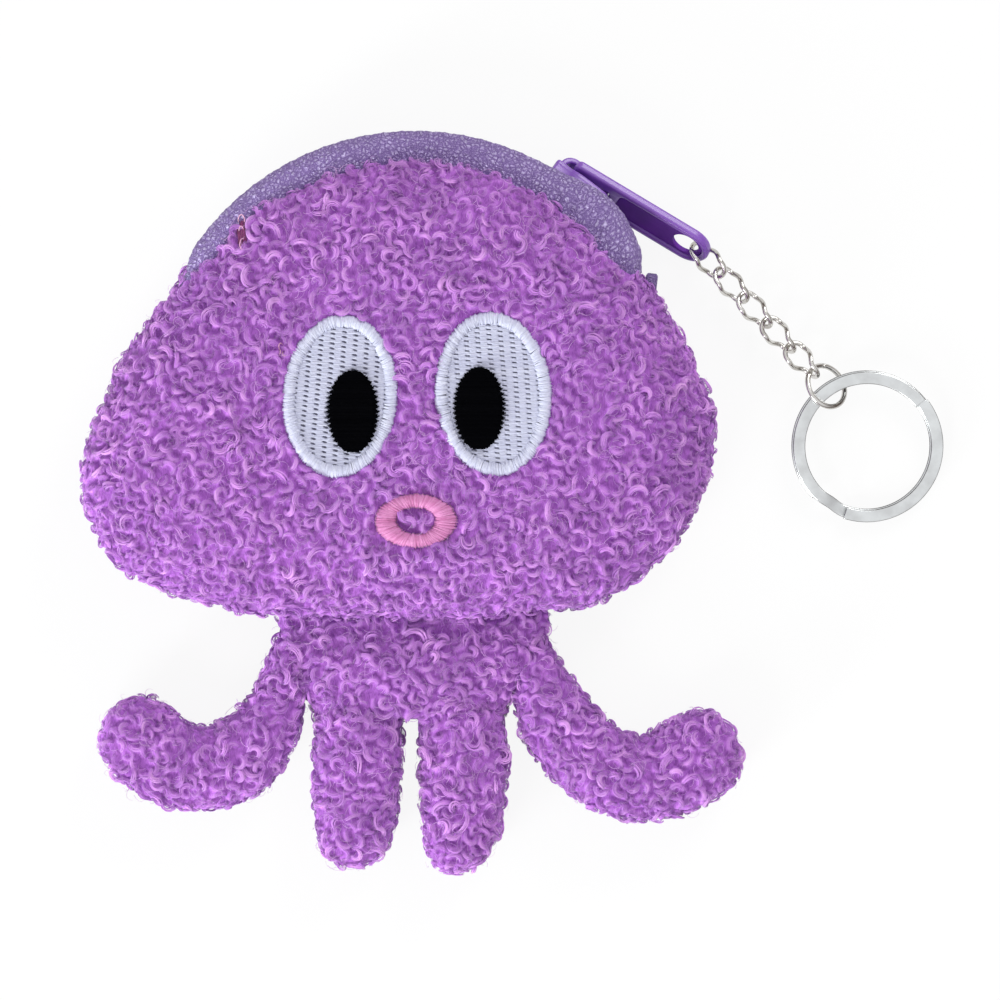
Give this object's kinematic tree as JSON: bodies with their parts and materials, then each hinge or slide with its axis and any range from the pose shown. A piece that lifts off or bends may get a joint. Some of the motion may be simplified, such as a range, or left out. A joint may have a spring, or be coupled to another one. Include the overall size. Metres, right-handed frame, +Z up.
{
  "type": "octopus coin purse",
  "caption": "Plush octopus coin purse on its back: curly purple fleece head zipped over its crown, embroidered face, short stuffed tentacles, and a chain with a split ring on the zip pull.",
  "frame": {"origin": "centre of the zip's arc, on the table under the head", "axes": "+X to the right of the face and along the whole purse, +Y towards the crown, +Z up off the table, the way the face looks"},
  "size_m": [0.143, 0.1228, 0.0189],
  "materials": {
    "plush": "curly fleece pile, matt",
    "fibre": "loose polyester fibre",
    "lining": "thin woven lining",
    "zip_tape": "woven tape with a fine glitter thread",
    "white_thread": "satin embroidery",
    "black_thread": "satin embroidery",
    "pink_thread": "satin embroidery",
    "teeth": "moulded, satin",
    "enamel": "purple enamel, glossy",
    "steel": "nickel plated, bright"
  },
  "bodies": {
    "head": {"head_front_panel": "plush", "head_back_panel": "plush", "front_wadding": "fibre", "back_wadding": "fibre", "lining_bag": "lining", "eye_left_border": "white_thread", "eye_left_white": "white_thread", "eye_left_pupil": "black_thread", "eye_right_border": "white_thread", "eye_right_white": "white_thread", "eye_right_pupil": "black_thread", "mouth_ring": "pink_thread", "zip_tape_front": "zip_tape", "zip_tape_back": "zip_tape", "zip_teeth_front": "teeth", "zip_teeth_back": "teeth", "top_stop_front": "steel", "top_stop_back": "steel", "bottom_stop": "steel"},
    "slider": {"zip_slider": "enamel"},
    "pull": {"zip_pull": "enamel"},
    "link_1": {"chain_link_1": "steel"},
    "link_2": {"chain_link_2": "steel"},
    "link_3": {"chain_link_3": "steel"},
    "link_4": {"chain_link_4": "steel"},
    "link_5": {"chain_link_5": "steel"},
    "jump_ring": {"jump_ring": "steel"},
    "split_ring": {"split_ring": "steel"},
    "skirt": {"skirt_cover": "plush", "skirt_stuffing": "fibre"},
    "tentacle_outer_left": {"tentacle_outer_left_cover": "plush", "tentacle_outer_left_stuffing": "fibre"},
    "tentacle_inner_left": {"tentacle_inner_left_cover": "plush", "tentacle_inner_left_stuffing": "fibre"},
    "tentacle_inner_right": {"tentacle_inner_right_cover": "plush", "tentacle_inner_right_stuffing": "fibre"},
    "tentacle_outer_right": {"tentacle_outer_right_cover": "plush", "tentacle_outer_right_stuffing": "fibre"}
  },
  "joints": [
    {"name": "zip_slide", "type": "hinge", "parent": "head", "child": "slider", "pos_m": [0, 0, 0], "axis": [0, 0, 1], "range_deg": [0, 80], "deforming": ["zip_teeth_front", "zip_teeth_back"]},
    {"name": "pull_swing", "type": "hinge", "parent": "slider", "child": "pull", "pos_m": [0.02566, 0.03744, 0.00563], "axis": [0.3058, 0.3956, 0.866], "range_deg": [-8, 160]},
    {"name": "chain_hinge_1", "type": "hinge", "parent": "pull", "child": "link_1", "pos_m": [0.04486, 0.02602, 0.00407], "axis": [0.4143, 0.7637, -0.4951], "range_deg": [-45, 45]},
    {"name": "chain_hinge_2", "type": "hinge", "parent": "link_1", "child": "link_2", "pos_m": [0.05085, 0.02054, 0.0035], "axis": [0.4419, 0.3881, 0.8088], "range_deg": [-22, 35]},
    {"name": "chain_hinge_3", "type": "hinge", "parent": "link_2", "child": "link_3", "pos_m": [0.05391, 0.01728, 0.0034], "axis": [0.6359, 0.6127, -0.4693], "range_deg": [-30, 30]},
    {"name": "chain_hinge_4", "type": "hinge", "parent": "link_3", "child": "link_4", "pos_m": [0.0587, 0.01217, 0.00323], "axis": [-0.2884, -0.2401, -0.9269], "range_deg": [-30, 30]},
    {"name": "chain_hinge_5", "type": "hinge", "parent": "link_4", "child": "link_5", "pos_m": [0.06177, 0.00891, 0.00312], "axis": [-0.6793, -0.6493, 0.3419], "range_deg": [-30, 30]},
    {"name": "jump_hinge", "type": "hinge", "parent": "link_5", "child": "jump_ring", "pos_m": [0.06656, 0.00381, 0.00295], "axis": [-0.5186, -0.3565, -0.7771], "range_deg": [-40, 40]},
    {"name": "split_hinge", "type": "hinge", "parent": "jump_ring", "child": "split_ring", "pos_m": [0.06838, 0.00176, 0.00289], "axis": [0.8241, 0.5664, 0], "range_deg": [-30, 30]},
    {"name": "legs_fold", "type": "hinge", "parent": "head", "child": "skirt", "pos_m": [0, -0.0407, 0.007], "axis": [-1, 0, 0], "range_deg": [-60, 70], "stiffness_Nm_per_rad": 0.004},
    {"name": "tentacle_outer_left_bend", "type": "hinge", "parent": "skirt", "child": "tentacle_outer_left", "pos_m": [-0.02305, -0.0461, 0.0056], "axis": [-0.4259, 0.9048, 0], "range_deg": [-45, 40], "stiffness_Nm_per_rad": 0.0014},
    {"name": "tentacle_inner_left_bend", "type": "hinge", "parent": "skirt", "child": "tentacle_inner_left", "pos_m": [-0.0095, -0.0545, 0.0056], "axis": [-1, 0, 0], "range_deg": [-45, 45], "stiffness_Nm_per_rad": 0.0014},
    {"name": "tentacle_inner_right_bend", "type": "hinge", "parent": "skirt", "child": "tentacle_inner_right", "pos_m": [0.0077, -0.0545, 0.0056], "axis": [-1, 0, 0], "range_deg": [-45, 45], "stiffness_Nm_per_rad": 0.0014},
    {"name": "tentacle_outer_right_bend", "type": "hinge", "parent": "skirt", "child": "tentacle_outer_right", "pos_m": [0.0214, -0.0469, 0.0056], "axis": [-0.429, -0.9033, 0], "range_deg": [-45, 40], "stiffness_Nm_per_rad": 0.0014}
  ]
}
